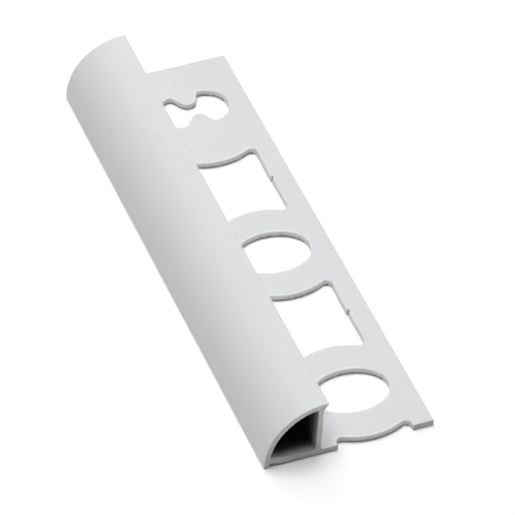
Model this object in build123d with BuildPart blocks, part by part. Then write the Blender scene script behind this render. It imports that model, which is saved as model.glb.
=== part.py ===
from build123d import *
import os

# Rounded tile edge trim: a short sawn length of hollow plastic moulding, in one extruded piece.
# A quarter-round nose covers the tile's edge, and a flat punched flange lies under the tiles.
# X runs across the trim with the nose on the left, Y runs from the near sawn end to the far
# one, and Z is up from the floor. The origin is under the middle. Sizes are in millimetres.

# The whole sample
LENGTH = 89.5
NOSE_HEIGHT = 10.0
OVERALL_WIDTH = 26.6

# The quarter-round nose, and its lip over the tile's edge
TOE_HEIGHT = 0.25
NOSE_WALL = 0.9
LIP_FLAT = 0.3
LIP_OVERHANG = 0.75
LIP_EDGE = 0.45
LIP_THICKENING = 0.85

# The web that stands behind the nose and leans out a little towards its top
WEB_WALL = 0.85
WEB_LEAN = 0.45

# The base closes the hollow from below and goes on past the web as the flange
BASE_WALL = 1.2
FLANGE_THICKNESS = 1.1

# Under the base a relief leaves the toe standing as a narrow foot. From the relief's shoulder
# the underside comes down slowly, and it lies on the floor where the punched band starts.
RELIEF_WIDTH = 2.3
RELIEF_HEIGHT = 0.75
SHOULDER_HEIGHT = 0.3

# Roundings of the extruded section
WEB_FILLET = 0.4
HOLLOW_FILLET = 0.25
EDGE_FILLET = 0.15

# The band of punched holes: ovals with a ring of material left around each
WEB_TO_BAND = 2.7
BAND_TO_FREE_EDGE = 3.25
PITCH = 32.55
FIRST_OVAL = 10.2
OVAL_LENGTH = 8.9
RING_RADIUS = 10.0
OPENING_FILLET = 0.9

# The waisted hole near the far end, with a pointed tooth from each long side
WAISTED_TO_FAR_END = 10.75
WAISTED_LENGTH = 7.5
WAIST = 2.8
TOOTH_TIP = 0.9
TOOTH_SPREAD = 0.3
TOOTH_FILLET = 0.45
BAR_BEFORE_WAISTED = 2.0

# The punch leaves the upper rim of each hole a little rounded
RIM_FILLET = 0.2

nose_radius = NOSE_HEIGHT - TOE_HEIGHT
lip_end = nose_radius + LIP_FLAT
lip_underside = NOSE_HEIGHT - LIP_EDGE
web_top = lip_underside - LIP_THICKENING
web_top_face = lip_end - LIP_OVERHANG
web_foot_face = web_top_face - WEB_LEAN
web_slope = WEB_LEAN / (web_top - FLANGE_THICKNESS)
web_inner_foot = web_foot_face - WEB_WALL
shoulder = NOSE_WALL + RELIEF_WIDTH
band_start = web_foot_face + WEB_TO_BAND
base_slope = SHOULDER_HEIGHT / (band_start - shoulder)
band_width = OVERALL_WIDTH - BAND_TO_FREE_EDGE - band_start
waisted_position = LENGTH - WAISTED_TO_FAR_END
# The teeth spread a little past the straight sides of the slot
tooth_root = band_width - WAISTED_LENGTH + 2 * TOOTH_SPREAD

# As many ovals and openings follow each other as fit before the waisted hole
pattern_end = waisted_position - WAISTED_LENGTH / 2 - BAR_BEFORE_WAISTED
oval_count = int((pattern_end - FIRST_OVAL + RING_RADIUS) / PITCH)

# The stock is longer than the sample by one pitch, which the saw takes off with the last cut
near_end = -LENGTH / 2
stock_length = LENGTH + PITCH
section_plane = Plane(
    origin=(-OVERALL_WIDTH / 2, near_end - PITCH, 0), x_dir=(1, 0, 0), z_dir=(0, -1, 0)
)
band_middle = OVERALL_WIDTH / 2 - BAND_TO_FREE_EDGE - band_width / 2
band_plane = Plane(origin=(band_middle, near_end, FLANGE_THICKNESS))
waisted_plane = Plane(origin=(band_middle, near_end + waisted_position, FLANGE_THICKNESS))

with BuildPart() as edge_trim:
    # Section of the solid material, with the toe at the sketch's origin
    with BuildSketch(section_plane) as section:
        with BuildLine() as outline:
            toe = Line((0, 0), (0, TOE_HEIGHT))
            nose = CenterArc((nose_radius, TOE_HEIGHT), nose_radius, 180, -90)
            Polyline(
                nose @ 1,
                (lip_end, NOSE_HEIGHT),
                (lip_end, lip_underside),
                (web_top_face, web_top),
                (web_foot_face, FLANGE_THICKNESS),
                (OVERALL_WIDTH, FLANGE_THICKNESS),
                (OVERALL_WIDTH, 0),
                (band_start, 0),
                (shoulder, SHOULDER_HEIGHT),
                (NOSE_WALL, RELIEF_HEIGHT),
                (NOSE_WALL, 0),
                toe @ 0,
            )
        make_face()
        web_corners = [(web_top_face, web_top), (web_foot_face, FLANGE_THICKNESS)]
        fillet(
            [section.vertices().sort_by_distance(corner)[0] for corner in web_corners],
            radius=WEB_FILLET,
        )
        outer_corners = [
            (0, 0),
            (NOSE_WALL, 0),
            (NOSE_WALL, RELIEF_HEIGHT),
            (lip_end, NOSE_HEIGHT),
            (lip_end, lip_underside),
            (OVERALL_WIDTH, FLANGE_THICKNESS),
            (OVERALL_WIDTH, 0),
        ]
        fillet(
            [section.vertices().sort_by_distance(corner)[0] for corner in outer_corners],
            radius=EDGE_FILLET,
        )
    extrude(amount=-stock_length)

    # The closed hollow between nose, web and base runs the whole length
    with BuildSketch(section_plane) as hollow:
        with Locations((nose_radius, TOE_HEIGHT)):
            Circle(nose_radius - NOSE_WALL)
        with BuildLine() as inner_faces:
            Polyline(
                (NOSE_WALL, BASE_WALL + RELIEF_HEIGHT),
                (shoulder, BASE_WALL + SHOULDER_HEIGHT),
                (web_inner_foot, BASE_WALL + base_slope * (band_start - web_inner_foot)),
                (web_inner_foot + web_slope * (NOSE_HEIGHT - BASE_WALL), NOSE_HEIGHT),
                (NOSE_WALL, NOSE_HEIGHT),
                close=True,
            )
        make_face(mode=Mode.INTERSECT)
        fillet(hollow.vertices(), radius=HOLLOW_FILLET)
    extrude(amount=-stock_length, mode=Mode.SUBTRACT)

    # Openings with hollowed ends fill the band between the rings, and an oval is inside each ring
    with BuildSketch(band_plane) as holes:
        with Locations([(0, FIRST_OVAL + (n - 0.5) * PITCH) for n in range(oval_count + 1)]):
            Rectangle(band_width, PITCH)
        with Locations([(0, FIRST_OVAL + n * PITCH) for n in range(-1, oval_count + 1)]):
            Circle(RING_RADIUS, mode=Mode.SUBTRACT)
        fillet(holes.vertices(), radius=OPENING_FILLET)
        with Locations([(0, FIRST_OVAL + n * PITCH) for n in range(oval_count)]):
            Ellipse(band_width / 2, OVAL_LENGTH / 2)
    extrude(amount=-FLANGE_THICKNESS, mode=Mode.SUBTRACT)

    # The waisted hole is a slot across the band with two teeth left in it
    with BuildSketch(waisted_plane) as waisted_hole:
        SlotOverall(band_width, WAISTED_LENGTH)
        with PolarLocations(0, 2):
            Polygon(
                (-TOOTH_TIP / 2, WAIST / 2),
                (TOOTH_TIP / 2, WAIST / 2),
                (tooth_root / 2, WAISTED_LENGTH / 2),
                (-tooth_root / 2, WAISTED_LENGTH / 2),
                align=None,
                mode=Mode.SUBTRACT,
            )
        fillet(waisted_hole.vertices(), radius=TOOTH_FILLET)
    extrude(amount=-FLANGE_THICKNESS, mode=Mode.SUBTRACT)

    # Rounded upper rims
    level_faces = edge_trim.faces().filter_by_position(Axis.Z, FLANGE_THICKNESS, FLANGE_THICKNESS)
    flange_top = level_faces.sort_by(SortBy.AREA)[-1]
    fillet([edge for wire in flange_top.inner_wires() for edge in wire.edges()], radius=RIM_FILLET)

    # The near end is sawn through the first opening
    split(bisect_by=Plane.XZ.offset(-near_end), keep=Keep.BOTTOM)

edge_trim.part.label = "edge_trim"

os.makedirs("parts", exist_ok=True)
export_step(edge_trim.part, "parts/edge_trim.step")
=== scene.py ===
import math

import bmesh
import bpy
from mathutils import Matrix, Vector


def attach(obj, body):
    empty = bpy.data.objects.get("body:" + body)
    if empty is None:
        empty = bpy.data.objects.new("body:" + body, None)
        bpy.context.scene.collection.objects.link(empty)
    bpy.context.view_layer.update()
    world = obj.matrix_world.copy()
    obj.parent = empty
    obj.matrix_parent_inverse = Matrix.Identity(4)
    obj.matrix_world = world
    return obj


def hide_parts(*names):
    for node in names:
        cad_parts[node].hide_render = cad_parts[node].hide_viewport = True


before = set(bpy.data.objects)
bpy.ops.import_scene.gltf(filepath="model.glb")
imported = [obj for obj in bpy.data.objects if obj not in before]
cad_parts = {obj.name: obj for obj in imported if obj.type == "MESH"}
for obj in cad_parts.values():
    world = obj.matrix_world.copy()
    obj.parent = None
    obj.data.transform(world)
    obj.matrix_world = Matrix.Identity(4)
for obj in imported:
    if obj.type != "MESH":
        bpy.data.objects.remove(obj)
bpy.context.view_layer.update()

MM = 0.001

# The trim, as it lies: nose on the left, near sawn end towards the camera
NEAR_END = -44.75 * MM
FAR_END = 44.75 * MM
FLANGE_TOP = 1.1 * MM
BAND_LEFT = -1.75 * MM
BAND_RIGHT = 10.05 * MM
NOSE_CENTRE_X = -3.55 * MM
NOSE_CENTRE_Z = 0.25 * MM
HOLLOW_RADIUS = 8.95 * MM
HOLLOW_FLOOR = 1.15 * MM
WEB_MIDDLE_X = -4.75 * MM
TRIM_HEIGHT = 10 * MM
OPENING_MIDDLES = (-18.275 * MM, 14.275 * MM)

# The waisted hole, and the spans of its teeth and of its far lobe from its middle
WAISTED_MIDDLE = (4.15 * MM, 34.0 * MM)
WAISTED_START = 28.0 * MM
WAISTED_END = 40.0 * MM
WAIST_GAP = 0.2 * MM
TOOTH_TIP_REACH = 1.5 * MM
TOOTH_TIP_DEPTH = 2.4 * MM
TOOTH_SIDE_REACH = 1.8 * MM
TOOTH_SIDE_DEPTH = 2.9 * MM
LOBE_SIDE = 3.4 * MM
LOBE_DEPTH = 2.6 * MM
LOBE_REACH = 0.5 * MM
HOLE_STEP = 0.5 * MM
HOLE_ROUNDS = 3
HOLE_SMOOTHING = 50

# Each tooth of the waisted hole: the way it stands, its growth, the push of its left and right
TEETH = (
    (-1, 0.15 * MM, -0.05 * MM, 0.45 * MM),
    (1, 0.35 * MM, -0.4 * MM, 0.3 * MM),
)

# Marks of the saw
SAW_RING = 0.3 * MM
SAW_STEP = 0.28 * MM
SAW_ROUNDS = 7
SAW_NICKS = 0.14 * MM
SAWN_DEPTH = 0.2 * MM
SAW_GRAIN = 0.45 * MM

# Marks of the punch
PUNCH_STEP = 0.15 * MM
NICK_LENGTH = 0.44 * MM
NICK_DEPTH = 0.13 * MM
NICK_SLOPE = 0.06 * MM
WALL_NEAR = 0.25 * MM
WALL_REACH = 0.3 * MM
WALL_SPREAD = 0.35 * MM
WALL_FAR = 0.6 * MM
BAND_LIFT = 0.22 * MM
BOW_END = 9.45 * MM
BOW_FOOT = 1.0 * MM
BURR_WIDTH = 0.2 * MM
BURR_HEIGHT = 0.05 * MM
BURR_GRAIN = 0.9 * MM
# Where the rims carry a painted highlight: how far past the band, how near the flange top, and
# where it stops before the free edge
RIM_WIDTH = 0.5 * MM
RIM_SLOPE_DEPTH = 0.08 * MM
PAINTED_HIGHLIGHT_END = 9.2 * MM

# How near counts as the same place, as on the floor, as on the rim, and as one point after a cut
SAME_PLACE = 0.002 * MM
ON_FLOOR = 0.01 * MM
ON_RIM = 0.001 * MM
CUT_MERGE = 0.001 * MM

# How upright the normals of a rim's slope, a level face and a quite flat one are at least
RIM_SLOPE = 0.9
LEVEL = 0.999
ALMOST_FLAT = 0.9998
FLAT = 0.9999

# Areas above which a flat face is shaded flat, and below which a face can be part of a rim
LARGE_FACE = 1.0 * MM * MM
RIM_FACE = 2.0 * MM * MM
SMOOTH_ANGLE = math.radians(35)

# Colour of punched plastic from its underside up: along the bars dark at the foot as painted
# shade and lighter above as painted light, on the rims as a painted highlight and beside the free
# edge as painted light, and in nicks dark as painted shade
BAR_SIDES_PAINTED_SHADE_AND_LIGHT = [
    (0.12, (0.15, 0.13, 0.12)),
    (0.24, (0.4, 0.39, 0.385)),
    (0.36, (0.8, 0.805, 0.81)),
    (1.0, (0.87, 0.88, 0.89)),
]
PAINTED_LIGHT_EDGES = [(0.1, (0.7, 0.7, 0.7)), (0.4, (0.82, 0.825, 0.83)), (1.0, (0.85, 0.857, 0.865))]
NICK_PAINTED_SHADE = [(0.2, (0.16, 0.15, 0.14)), (1.0, (0.4, 0.4, 0.39))]

# The finishes, by their place in the trim's list of materials
MOULDED, SAWN, PUNCHED, SHADED_HOLLOW, PAINTED_LIGHT_EDGE, SHADED_NICK = range(6)

# Camera that took the picture
CAMERA_TARGET = Vector((1.887 * MM, -1.22 * MM, 0))
CAMERA_AZIMUTH = math.radians(-20.42)
CAMERA_ELEVATION = math.radians(42.0)
CAMERA_DISTANCE = 743.5 * MM
CAMERA_LENS = 341.2

# Studio: the sky's strength from front to back, and the paper on the floor
SKY_BACK = 0.15
SKY_FRONT = 0.05
FLOOR_SIZE = 6.0
FLOOR_BOUNCE = (0.8, 0.785, 0.76, 1.0)
FLOOR_SEEN = (1.12, 1.12, 1.12, 1.0)
FLOOR_LIFT = (0.02, 0.014, 0.011, 1.0)
FADE_START = 0.07
FADE_END = 0.3

# Each soft light: its name, place, width and power
SOFTBOXES = (
    ("top_softbox", (0.0, 0.05, 1.3), 1.0, 12.2),
    ("key_softbox", (0.12, 0.6, 1.15), 0.9, 2.6),
    ("left_softbox", (-0.9, 0.1, 0.9), 0.7, 0.5),
    ("low_left_softbox", (-1.25, 0.15, 0.4), 0.6, 0.55),
    ("back_softbox", (0.0, 1.1, 0.6), 0.7, 1.5),
    ("back_left_softbox", (-0.5, 0.9, 0.7), 0.7, 0.6),
)


def add_node(tree, kind, x, y, **settings):
    """A shader node at its place in the editor, with its settings and socket values."""
    node = tree.nodes.new(kind)
    node.location = (x, y)
    for name, value in settings.items():
        if hasattr(node, name):
            setattr(node, name, value)
        else:
            node.inputs[name.replace("_", " ")].default_value = value
    return node


def add_ramp(tree, x, y, stops):
    """A colour ramp with a colour at each position."""
    ramp = add_node(tree, "ShaderNodeValToRGB", x, y)
    elements = ramp.color_ramp.elements
    while len(elements) < len(stops):
        elements.new(0.5)
    for element, (position, colour) in zip(elements, stops):
        element.position = position
        element.color = (*colour, 1.0)
    return ramp


def add_sight(tree, x, y):
    """1 for a ray that sees the studio, straight or in a mirror or glass, and 0 for its light."""
    path = add_node(tree, "ShaderNodeLightPath", x, y)
    mirrored = add_node(tree, "ShaderNodeMath", x + 200, y, operation="MAXIMUM")
    sight = add_node(tree, "ShaderNodeMath", x + 400, y, operation="MAXIMUM")
    tree.links.new(path.outputs["Is Camera Ray"], mirrored.inputs[0])
    tree.links.new(path.outputs["Is Glossy Ray"], mirrored.inputs[1])
    tree.links.new(mirrored.outputs[0], sight.inputs[0])
    tree.links.new(path.outputs["Is Transmission Ray"], sight.inputs[1])
    return sight


def make_camera():
    level = math.cos(CAMERA_ELEVATION)
    back = Vector((
        math.sin(CAMERA_AZIMUTH) * level,
        -math.cos(CAMERA_AZIMUTH) * level,
        math.sin(CAMERA_ELEVATION),
    ))
    bpy.ops.object.camera_add(location=CAMERA_TARGET + back * CAMERA_DISTANCE)
    camera = bpy.context.object
    camera.name = "camera"
    camera.rotation_euler = (-back).to_track_quat("-Z", "Y").to_euler()
    camera.data.lens = CAMERA_LENS
    camera.data.sensor_width = 36.0
    camera.data.clip_start = 0.01
    camera.data.clip_end = 20.0
    bpy.context.scene.camera = camera


def make_world():
    """A weak sky that is darker in front of the sawn end, and white where it is seen."""
    world = bpy.data.worlds.new("studio")
    bpy.context.scene.world = world
    world.use_nodes = True
    tree = world.node_tree
    tree.nodes.clear()
    link = tree.links.new
    output = add_node(tree, "ShaderNodeOutputWorld", 800, 0)
    mix = add_node(tree, "ShaderNodeMixShader", 600, 0)
    sight = add_sight(tree, 0, 350)
    place = add_node(tree, "ShaderNodeTexCoord", -200, 0)
    parts = add_node(tree, "ShaderNodeSeparateXYZ", 0, 0)
    level = add_node(
        tree, "ShaderNodeMapRange", 200, 0,
        From_Min=-0.5, From_Max=0.3, To_Min=SKY_FRONT, To_Max=SKY_BACK,
    )
    sky = add_node(tree, "ShaderNodeBackground", 400, 0, Color=(1, 1, 1, 1))
    white = add_node(tree, "ShaderNodeBackground", 400, -150, Color=(1, 1, 1, 1), Strength=1.0)
    link(place.outputs["Generated"], parts.inputs[0])
    link(parts.outputs["Y"], level.inputs["Value"])
    link(level.outputs[0], sky.inputs["Strength"])
    link(sight.outputs[0], mix.inputs[0])
    link(sky.outputs[0], mix.inputs[1])
    link(white.outputs[0], mix.inputs[2])
    link(mix.outputs[0], output.inputs[0])


def make_floor():
    """White paper. Seen directly it takes the trim's shadow, and far away it fades to white."""
    bpy.ops.object.select_all(action="DESELECT")
    bpy.ops.mesh.primitive_plane_add(size=FLOOR_SIZE, location=(0, 0, 0))
    floor = bpy.context.object
    floor.name = "floor"
    paper = bpy.data.materials.new("white_paper")
    paper.use_nodes = True
    tree = paper.node_tree
    tree.nodes.clear()
    link = tree.links.new
    output = add_node(tree, "ShaderNodeOutputMaterial", 800, 0)
    mix = add_node(tree, "ShaderNodeMixShader", 600, 0)
    sight = add_sight(tree, 0, 350)
    bounce = add_node(tree, "ShaderNodeBsdfDiffuse", 400, 0, Color=FLOOR_BOUNCE)
    seen = add_node(tree, "ShaderNodeMixShader", 400, -150)
    sheet = add_node(tree, "ShaderNodeBsdfDiffuse", 0, -250, Color=FLOOR_SEEN)
    lift = add_node(tree, "ShaderNodeEmission", 0, -400, Color=FLOOR_LIFT, Strength=1.0)
    lifted = add_node(tree, "ShaderNodeAddShader", 200, -250)
    white = add_node(tree, "ShaderNodeEmission", 200, -400, Strength=1.0)
    place = add_node(tree, "ShaderNodeTexCoord", -400, -100)
    reach = add_node(tree, "ShaderNodeVectorMath", -200, -100, operation="LENGTH")
    fade = add_node(
        tree, "ShaderNodeMapRange", 0, -50,
        interpolation_type="SMOOTHSTEP", From_Min=FADE_START, From_Max=FADE_END,
    )
    link(place.outputs["Object"], reach.inputs[0])
    link(reach.outputs["Value"], fade.inputs["Value"])
    link(sheet.outputs[0], lifted.inputs[0])
    link(lift.outputs[0], lifted.inputs[1])
    link(fade.outputs[0], seen.inputs[0])
    link(lifted.outputs[0], seen.inputs[1])
    link(white.outputs[0], seen.inputs[2])
    link(sight.outputs[0], mix.inputs[0])
    link(bounce.outputs[0], mix.inputs[1])
    link(seen.outputs[0], mix.inputs[2])
    link(mix.outputs[0], output.inputs[0])
    floor.data.materials.append(paper)


def make_softbox(name, location, width, power):
    """A square soft light that is turned to the trim."""
    bpy.ops.object.light_add(type="AREA", location=location)
    softbox = bpy.context.object
    softbox.name = name
    softbox.data.shape = "SQUARE"
    softbox.data.size = width
    softbox.data.energy = power
    softbox.rotation_euler = (-Vector(location)).to_track_quat("-Z", "Y").to_euler()


def start_plastic(name, roughness):
    """A plastic with nothing on its colour or bump yet, and its object coordinates."""
    plastic = bpy.data.materials.new(name)
    plastic.use_nodes = True
    tree = plastic.node_tree
    tree.nodes.clear()
    output = add_node(tree, "ShaderNodeOutputMaterial", 900, 0)
    shader = add_node(tree, "ShaderNodeBsdfPrincipled", 600, 0, Roughness=roughness)
    tree.links.new(shader.outputs[0], output.inputs[0])
    place = add_node(tree, "ShaderNodeTexCoord", -900, 0)
    return plastic, tree, shader, place


def stretched_noise(tree, place, x, y, scale, **settings):
    """Noise on object coordinates, with its own scale along X, Y and Z, per metre."""
    stretch = add_node(tree, "ShaderNodeMapping", x - 200, y, Scale=scale)
    noise = add_node(tree, "ShaderNodeTexNoise", x, y, Scale=1.0, **settings)
    tree.links.new(place.outputs["Object"], stretch.inputs["Vector"])
    tree.links.new(stretch.outputs[0], noise.inputs["Vector"])
    return noise


def make_moulded_plastic():
    """Satin extruded surface: clouded a little, with a few dull specks and faint die lines."""
    plastic, tree, shader, place = start_plastic("moulded_plastic", 0.42)
    link = tree.links.new
    clouds = stretched_noise(tree, place, -500, 300, (90, 40, 90), Detail=3.0)
    tint = add_ramp(
        tree, -300, 300, [(0.3, (0.712, 0.722, 0.737)), (0.7, (0.728, 0.738, 0.753))]
    )
    specks = stretched_noise(
        tree, place, -500, 600, (420, 260, 420), Detail=3.0, Roughness=0.6
    )
    dirt = add_ramp(tree, -300, 600, [(0.68, (1.0, 1.0, 1.0)), (0.77, (0.84, 0.84, 0.85))])
    soiled = add_node(tree, "ShaderNodeVectorMath", 0, 400, operation="MULTIPLY")
    satin = stretched_noise(tree, place, -500, 0, (700, 250, 700), Detail=4.0)
    sheen = add_node(tree, "ShaderNodeMapRange", -300, 0, To_Min=0.37, To_Max=0.47)
    lines = stretched_noise(tree, place, -500, -300, (3200, 25, 3200), Detail=2.0)
    skin = stretched_noise(tree, place, -500, -600, (5000, 5000, 5000), Detail=2.0)
    die = add_node(tree, "ShaderNodeBump", 0, -300, Strength=0.12, Distance=0.006 * MM)
    grain = add_node(tree, "ShaderNodeBump", 200, -300, Strength=0.2, Distance=0.004 * MM)
    link(clouds.outputs[0], tint.inputs[0])
    link(specks.outputs[0], dirt.inputs[0])
    link(tint.outputs[0], soiled.inputs[0])
    link(dirt.outputs[0], soiled.inputs[1])
    link(soiled.outputs[0], shader.inputs["Base Color"])
    link(satin.outputs[0], sheen.inputs["Value"])
    link(sheen.outputs[0], shader.inputs["Roughness"])
    link(lines.outputs[0], die.inputs["Height"])
    link(skin.outputs[0], grain.inputs["Height"])
    link(die.outputs[0], grain.inputs["Normal"])
    link(grain.outputs[0], shader.inputs["Normal"])
    return plastic


def make_sawn_plastic():
    """Face left by the saw: duller, blotched, with slanting teeth marks, darker towards the floor
    and lighter towards its top as painted shade and light.
    """
    plastic, tree, shader, place = start_plastic("sawn_plastic", 0.62)
    link = tree.links.new
    blotches = stretched_noise(
        tree, place, -500, 300, (900, 900, 900), Detail=5.0, Roughness=0.6
    )
    tint = add_ramp(tree, -300, 300, [(0.32, (0.64, 0.64, 0.64)), (0.66, (0.79, 0.795, 0.8))])
    turn = add_node(
        tree, "ShaderNodeMapping", -700, -100,
        Rotation=(0, math.radians(28), 0), Scale=(1500, 1, 7500),
    )
    marks = add_node(tree, "ShaderNodeTexNoise", -500, -100, Scale=1.0, Detail=3.0)
    crumbs = stretched_noise(tree, place, -500, -400, (6000, 6000, 6000), Detail=3.0)
    saw = add_node(tree, "ShaderNodeBump", 0, -100, Strength=0.5, Distance=0.03 * MM)
    crumb = add_node(tree, "ShaderNodeBump", 200, -100, Strength=0.4, Distance=0.02 * MM)
    # Painted shade and light: the colour is scaled from darker at the floor to lighter at the top
    # of the trim
    parts = add_node(tree, "ShaderNodeSeparateXYZ", -500, 550)
    height = add_node(
        tree, "ShaderNodeMapRange", -300, 550, From_Max=TRIM_HEIGHT, To_Min=0.81, To_Max=1.2
    )
    painted_shade_and_light_by_height = add_node(tree, "ShaderNodeVectorMath", 0, 400, operation="SCALE")
    link(blotches.outputs[0], tint.inputs[0])
    link(place.outputs["Object"], parts.inputs[0])
    link(parts.outputs["Z"], height.inputs["Value"])
    link(tint.outputs[0], painted_shade_and_light_by_height.inputs[0])
    link(height.outputs[0], painted_shade_and_light_by_height.inputs["Scale"])
    link(painted_shade_and_light_by_height.outputs[0], shader.inputs["Base Color"])
    link(place.outputs["Object"], turn.inputs["Vector"])
    link(turn.outputs[0], marks.inputs["Vector"])
    link(marks.outputs[0], saw.inputs["Height"])
    link(crumbs.outputs[0], crumb.inputs["Height"])
    link(saw.outputs[0], crumb.inputs["Normal"])
    link(crumb.outputs[0], shader.inputs["Normal"])
    return plastic


def make_punched_plastic(name, stops):
    """Wall of a punched hole: sheared smooth above, and coloured from the underside up by its
    ramp, with a ragged line, as painted shade and light.
    """
    plastic, tree, shader, place = start_plastic(name, 0.5)
    link = tree.links.new
    parts = add_node(tree, "ShaderNodeSeparateXYZ", -700, 300)
    ragged = stretched_noise(tree, place, -500, 100, (1400, 1400, 250), Detail=3.0)
    ragged_height = add_node(tree, "ShaderNodeMath", -300, 200, operation="MULTIPLY_ADD")
    ragged_height.inputs[1].default_value = 0.5 * MM
    depth = add_node(
        tree, "ShaderNodeMapRange", -100, 300, From_Min=0.3 * MM, From_Max=1.3 * MM
    )
    # The ramp paints shade towards the underside, and on bars, rims and beside the free edge it
    # paints light higher up
    tint = add_ramp(tree, 100, 300, stops)
    shear = stretched_noise(tree, place, -500, -200, (5200, 5200, 300), Detail=3.0)
    scored = add_node(tree, "ShaderNodeBump", 200, -200, Strength=0.4, Distance=0.015 * MM)
    link(place.outputs["Object"], parts.inputs[0])
    link(ragged.outputs[0], ragged_height.inputs[0])
    link(parts.outputs["Z"], ragged_height.inputs[2])
    link(ragged_height.outputs[0], depth.inputs["Value"])
    link(depth.outputs[0], tint.inputs[0])
    link(tint.outputs[0], shader.inputs["Base Color"])
    link(shear.outputs[0], scored.inputs["Height"])
    link(scored.outputs[0], shader.inputs["Normal"])
    return plastic


def make_hollow_plastic():
    """Inside of the hollow: the same plastic, dull, with a fine bump, and darker away from the
    sawn ends as painted shade.
    """
    plastic, tree, shader, place = start_plastic("painted_shade_hollow_plastic", 0.8)
    link = tree.links.new
    shader.inputs["Specular IOR Level"].default_value = 0.15
    parts = add_node(tree, "ShaderNodeSeparateXYZ", -700, 300)
    along = add_node(tree, "ShaderNodeMath", -500, 300, operation="ABSOLUTE")
    depth = add_node(
        tree, "ShaderNodeMapRange", -300, 300,
        interpolation_type="SMOOTHSTEP", From_Min=FAR_END - 3.5 * MM, From_Max=FAR_END,
    )
    # Painted shade: near black deep inside the hollow, lighter towards the sawn ends
    tint = add_ramp(tree, -100, 300, [
        (0.0, (0.02, 0.02, 0.02)),
        (0.6, (0.15, 0.15, 0.15)),
        (1.0, (0.5, 0.5, 0.49)),
    ])
    dust = stretched_noise(tree, place, -500, -100, (1500, 400, 1500), Detail=4.0)
    lines = add_node(tree, "ShaderNodeBump", 200, -100, Strength=0.3, Distance=0.02 * MM)
    link(place.outputs["Object"], parts.inputs[0])
    link(parts.outputs["Y"], along.inputs[0])
    link(along.outputs[0], depth.inputs["Value"])
    link(depth.outputs[0], tint.inputs[0])
    link(tint.outputs[0], shader.inputs["Base Color"])
    link(dust.outputs[0], lines.inputs["Height"])
    link(lines.outputs[0], shader.inputs["Normal"])
    return plastic


def select(mesh_object, kind, test):
    """Selects the vertices, edges or faces that pass the test, and nothing else."""
    bpy.ops.mesh.select_mode(type={"verts": "VERT", "edges": "EDGE", "faces": "FACE"}[kind])
    bpy.ops.mesh.select_all(action="DESELECT")
    shape = bmesh.from_edit_mesh(mesh_object.data)
    found = 0
    for item in getattr(shape, kind):
        if test(item):
            item.select_set(True)
            found += 1
    shape.select_flush_mode()
    bmesh.update_edit_mesh(mesh_object.data)
    return found


def push(x=0.0, y=0.0, z=0.0):
    bpy.ops.transform.translate(value=(x, y, z))


def cut(place, across):
    """Cuts the selected faces along a plane."""
    bpy.ops.mesh.bisect(plane_co=place, plane_no=across, threshold=CUT_MERGE)


def in_band(point, spread):
    return BAND_LEFT - spread < point.x < BAND_RIGHT + spread


def is_flange_top(face):
    c = face.calc_center_median()
    at_top = abs(c.z - FLANGE_TOP) < SAME_PLACE
    return face.normal.z > LEVEL and at_top and c.x > WEB_MIDDLE_X


def is_underside(face):
    return face.normal.z < -LEVEL and abs(face.calc_center_median().z) < ON_FLOOR


def copy_of_trim(node):
    """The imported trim's surface as one closed mesh with clean flat faces."""
    bpy.ops.object.select_all(action="DESELECT")
    node.select_set(True)
    bpy.context.view_layer.objects.active = node
    bpy.ops.object.duplicate()
    trim = bpy.context.object
    trim.name = "rounded_trim"
    trim.parent = None
    for key in list(trim.keys()):
        del trim[key]
    trim.data.materials.clear()
    bpy.ops.mesh.customdata_custom_splitnormals_clear()
    bpy.ops.object.mode_set(mode="EDIT")
    bpy.ops.mesh.select_all(action="SELECT")
    bpy.ops.mesh.remove_doubles(threshold=0.0005 * MM)
    bpy.ops.mesh.dissolve_limited(angle_limit=math.radians(0.05))
    bpy.ops.object.mode_set(mode="OBJECT")
    return trim


def soften_waisted_hole(trim):
    """The teeth and lobes of the waisted hole run into each other in smooth curves."""
    middle_x, middle_y = WAISTED_MIDDLE

    def in_hole(vert):
        along = WAISTED_START < vert.co.y < WAISTED_END
        return along and in_band(vert.co, WALL_REACH) and vert.co.z < FLANGE_TOP * 1.01

    def is_long_rim(edge):
        first, second = edge.verts
        return (
            abs(first.co.z - second.co.z) < SAME_PLACE
            and in_hole(first)
            and in_hole(second)
            and any(abs(face.normal.z) < ALMOST_FLAT for face in edge.link_faces)
            and edge.calc_length() > HOLE_STEP
        )

    bpy.ops.object.mode_set(mode="EDIT")
    for _ in range(HOLE_ROUNDS):
        select(trim, "edges", is_long_rim)
        bpy.ops.mesh.subdivide(number_cuts=1)
    # Longer and blunter teeth with steeper sides, before the smoothing shortens them
    for way, growth, left_push, right_push in TEETH:
        select(trim, "verts", lambda vert: (
            in_hole(vert)
            and abs(vert.co.x - middle_x) < TOOTH_TIP_REACH
            and WAIST_GAP < way * (vert.co.y - middle_y) < TOOTH_TIP_DEPTH
        ))
        push(y=-way * growth)
        for side, side_push in ((-1, left_push), (1, right_push)):
            select(trim, "verts", lambda vert: (
                in_hole(vert)
                and WAIST_GAP < side * (vert.co.x - middle_x) < TOOTH_SIDE_REACH
                and 0 < way * (vert.co.y - middle_y) < TOOTH_SIDE_DEPTH
            ))
            push(x=side_push)
    # The far lobe beside the free edge reaches back to the foot of its tooth
    select(trim, "verts", lambda vert: (
        in_hole(vert)
        and TOOTH_SIDE_REACH < vert.co.x - middle_x < LOBE_SIDE
        and vert.co.y - middle_y > LOBE_DEPTH
    ))
    push(x=-LOBE_REACH)
    select(trim, "verts", in_hole)
    bpy.ops.mesh.vertices_smooth(
        factor=0.5, repeat=HOLE_SMOOTHING, zaxis=False, wait_for_input=False
    )
    bpy.ops.object.mode_set(mode="OBJECT")


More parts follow.
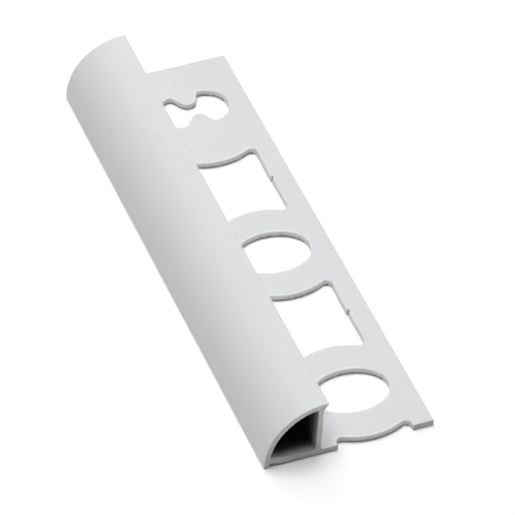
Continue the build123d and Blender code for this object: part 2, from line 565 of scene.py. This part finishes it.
def punch_nick(trim, middle, wall_x, way):
    """Two strokes of the punch miss each other in a long side and leave a nick between."""
    nick_start, nick_end = middle - NICK_LENGTH / 2, middle + NICK_LENGTH / 2
    cuts = (nick_start - NICK_SLOPE, nick_start, nick_end, nick_end + NICK_SLOPE)
    for y in cuts:
        select(trim, "faces", lambda face: (
            any(abs(v.co.x - wall_x) < WALL_NEAR for v in face.verts)
            and all(abs(v.co.x - wall_x) < WALL_FAR for v in face.verts)
            and min(v.co.y for v in face.verts) < y < max(v.co.y for v in face.verts)
        ))
        cut((0, y, 0), (0, 1, 0))
    for y, step in zip(cuts[1:], (NICK_DEPTH, NICK_DEPTH, -PUNCH_STEP)):
        select(trim, "verts", lambda vert: (
            abs(vert.co.y - y) < SAME_PLACE and abs(vert.co.x - wall_x) < WALL_REACH
        ))
        push(x=way * step)


def punch_marks(trim):
    """What the punch leaves: nicks in the openings, a bowed band, and a burr on the rims."""
    bpy.ops.object.mode_set(mode="EDIT")
    for middle in OPENING_MIDDLES:
        punch_nick(trim, middle, BAND_RIGHT, 1.0)
        punch_nick(trim, middle, BAND_LEFT, -1.0)
    # The punched band bows up a little between the nose and the free edge
    for x in (BOW_END, BOW_END + BOW_FOOT):
        select(trim, "faces", is_underside)
        cut((x, 0, 0), (1, 0, 0))
    select(trim, "verts", lambda vert: (
        vert.co.z < ON_FLOOR
        and in_band(vert.co, BURR_WIDTH)
        and vert.co.x < BOW_END + ON_FLOOR
    ))
    push(z=BAND_LIFT)
    # A narrow band round each hole, whose inner edge stands up as a burr later
    select(trim, "faces", is_flange_top)
    bpy.ops.mesh.inset(thickness=BURR_WIDTH, use_boundary=True, use_even_offset=False)
    bpy.ops.object.mode_set(mode="OBJECT")


def saw_marks(trim):
    """The sawn ends get many more points round their outline, so that it can be uneven."""
    bpy.ops.object.mode_set(mode="EDIT")
    for end, inwards in ((NEAR_END, 1), (FAR_END, -1)):
        bpy.ops.mesh.select_mode(type="FACE")
        bpy.ops.mesh.select_all(action="SELECT")
        cut((0, end + inwards * SAW_RING, 0), (0, 1, 0))
        for _ in range(SAW_ROUNDS):
            if not select(trim, "edges", lambda edge: (
                all(abs(v.co.y - end) < SAME_PLACE for v in edge.verts)
                and edge.calc_length() > SAW_STEP
            )):
                break
            bpy.ops.mesh.subdivide(number_cuts=1)
    bpy.ops.object.mode_set(mode="OBJECT")


def roughen(trim, name, test, direction, grain, strength, middle):
    """Moves the points that pass the test by fine cloud noise, and applies it."""
    group = trim.vertex_groups.new(name=name)
    group.add([v.index for v in trim.data.vertices if test(v)], 1.0, "REPLACE")
    noise = bpy.data.textures.new(name, "CLOUDS")
    noise.noise_scale = grain
    noise.noise_depth = 2
    moved = trim.modifiers.new(name, "DISPLACE")
    moved.texture = noise
    moved.texture_coords = "LOCAL"
    moved.vertex_group = group.name
    moved.direction = direction
    moved.strength = strength
    moved.mid_level = middle
    bpy.context.view_layer.objects.active = trim
    bpy.ops.object.modifier_apply(modifier=moved.name)


def finish_of(face):
    """Which finish a face shows, by its place and the way that it looks."""
    c, n = face.center, face.normal
    if abs(n.y) > 0.6 and abs(c.y) > FAR_END - SAWN_DEPTH:
        return SAWN
    from_nose = math.hypot(c.x - NOSE_CENTRE_X, c.z - NOSE_CENTRE_Z)
    # The inside of the hollow gets painted shade
    if c.x < WEB_MIDDLE_X and c.z > HOLLOW_FLOOR and from_nose < HOLLOW_RADIUS:
        return SHADED_HOLLOW
    # Rim faces short of the free edge get a painted highlight
    at_rim = (
        BAND_LEFT - RIM_WIDTH < c.x < PAINTED_HIGHLIGHT_END
        and abs(c.z - FLANGE_TOP) < RIM_SLOPE_DEPTH
        and abs(c.y) < FAR_END - SAW_RING
    )
    if at_rim and n.z > 0.5 and face.area < RIM_FACE:
        return PAINTED_LIGHT_EDGE
    on_wall = c.z < FLANGE_TOP + BURR_HEIGHT and in_band(c, WALL_SPREAD)
    if on_wall and -0.98 < n.z < 0.9:
        # Walls in a nick get painted shade
        by_nick = any(abs(c.y - middle) < NICK_LENGTH / 2 for middle in OPENING_MIDDLES)
        if by_nick and abs(n.y) < 0.5:
            return SHADED_NICK
        # Walls beside the free edge get painted light, and the other walls painted shade at their
        # foot
        return PAINTED_LIGHT_EDGE if c.x > BAND_RIGHT - WALL_REACH else PUNCHED
    return MOULDED


def add_finishes(trim):
    for finish in (
        make_moulded_plastic(),
        make_sawn_plastic(),
        make_punched_plastic("punched_plastic_painted_shade_and_light", BAR_SIDES_PAINTED_SHADE_AND_LIGHT),
        make_hollow_plastic(),
        make_punched_plastic("painted_light_edge_plastic", PAINTED_LIGHT_EDGES),
        make_punched_plastic("painted_shade_nick_plastic", NICK_PAINTED_SHADE),
    ):
        trim.data.materials.append(finish)
    for face in trim.data.polygons:
        face.material_index = finish_of(face)


def smooth_curves(trim):
    """Curved faces are shaded smooth, and the large level ones stay flat up to their edges."""
    bpy.ops.object.select_all(action="DESELECT")
    trim.select_set(True)
    bpy.context.view_layer.objects.active = trim
    bpy.ops.object.shade_smooth_by_angle(angle=SMOOTH_ANGLE)
    for face in trim.data.polygons:
        if abs(face.normal.z) > FLAT and face.area > LARGE_FACE:
            face.use_smooth = False
    weighted = trim.modifiers.new("flat_faces", "WEIGHTED_NORMAL")
    weighted.keep_sharp = True
    bpy.ops.object.modifier_apply(modifier=weighted.name)


make_camera()
make_world()
make_floor()
for softbox in SOFTBOXES:
    make_softbox(*softbox)

trim = copy_of_trim(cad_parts["edge_trim"])
soften_waisted_hole(trim)
punch_marks(trim)
saw_marks(trim)

rounded = {
    i
    for face in trim.data.polygons if RIM_SLOPE < face.normal.z < ALMOST_FLAT
    for i in face.vertices
}
roughen(
    trim, "burr",
    lambda v: (
        v.index in rounded
        and abs(v.co.z - FLANGE_TOP) < ON_RIM
        and in_band(v.co, WALL_REACH)
    ),
    direction="Z", grain=BURR_GRAIN, strength=BURR_HEIGHT, middle=0.0,
)
roughen(
    trim, "saw_nicks",
    lambda v: abs(v.co.y) > FAR_END - ON_FLOOR,
    direction="NORMAL", grain=SAW_GRAIN, strength=SAW_NICKS, middle=1.0,
)
add_finishes(trim)
smooth_curves(trim)

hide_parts("edge_trim")
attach(trim, "root")

scene = bpy.context.scene
scene.view_settings.view_transform = "Standard"
